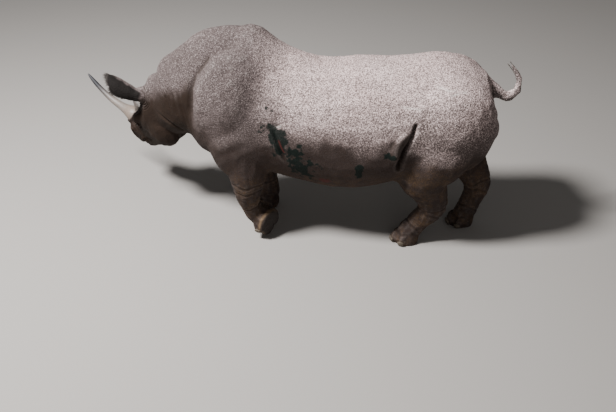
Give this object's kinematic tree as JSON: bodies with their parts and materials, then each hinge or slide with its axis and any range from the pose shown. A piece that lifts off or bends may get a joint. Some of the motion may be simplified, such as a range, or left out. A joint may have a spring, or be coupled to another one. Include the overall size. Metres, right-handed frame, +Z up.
{
  "type": "black rhinoceros",
  "caption": "Life-size still model of a black rhinoceros walking, its head turned to its right, in grey-brown folded skin with a long front horn and a raised tail.",
  "frame": {"origin": "middle of the bounding box, on the floor under the feet", "axes": "+Z up, -X the way the animal walks, -Y its left side"},
  "size_m": [3.4222, 1.079, 1.6243],
  "materials": {
    "skin": "dry, dusty, finely wrinkled hide",
    "horn": "satin, fibrous at the foot and dark towards the tip",
    "eye": "wet dark brown",
    "nail": "worn, dusty horn"
  },
  "bodies": {
    "root": {"trunk": "skin", "neck": "skin", "head": "skin", "tail": "skin", "front_left_leg": "skin", "front_right_leg": "skin", "hind_left_leg": "skin", "hind_right_leg": "skin", "left_ear": "skin", "right_ear": "skin", "left_eye": "eye", "right_eye": "eye", "front_horn": "horn", "rear_horn": "horn", "front_left_nail_a": "nail", "front_left_nail_b": "nail", "front_left_nail_c": "nail", "front_right_nail_a": "nail", "front_right_nail_b": "nail", "front_right_nail_c": "nail", "hind_left_nail_a": "nail", "hind_left_nail_b": "nail", "hind_left_nail_c": "nail", "hind_right_nail_a": "nail", "hind_right_nail_b": "nail", "hind_right_nail_c": "nail"}
  },
  "joints": []
}
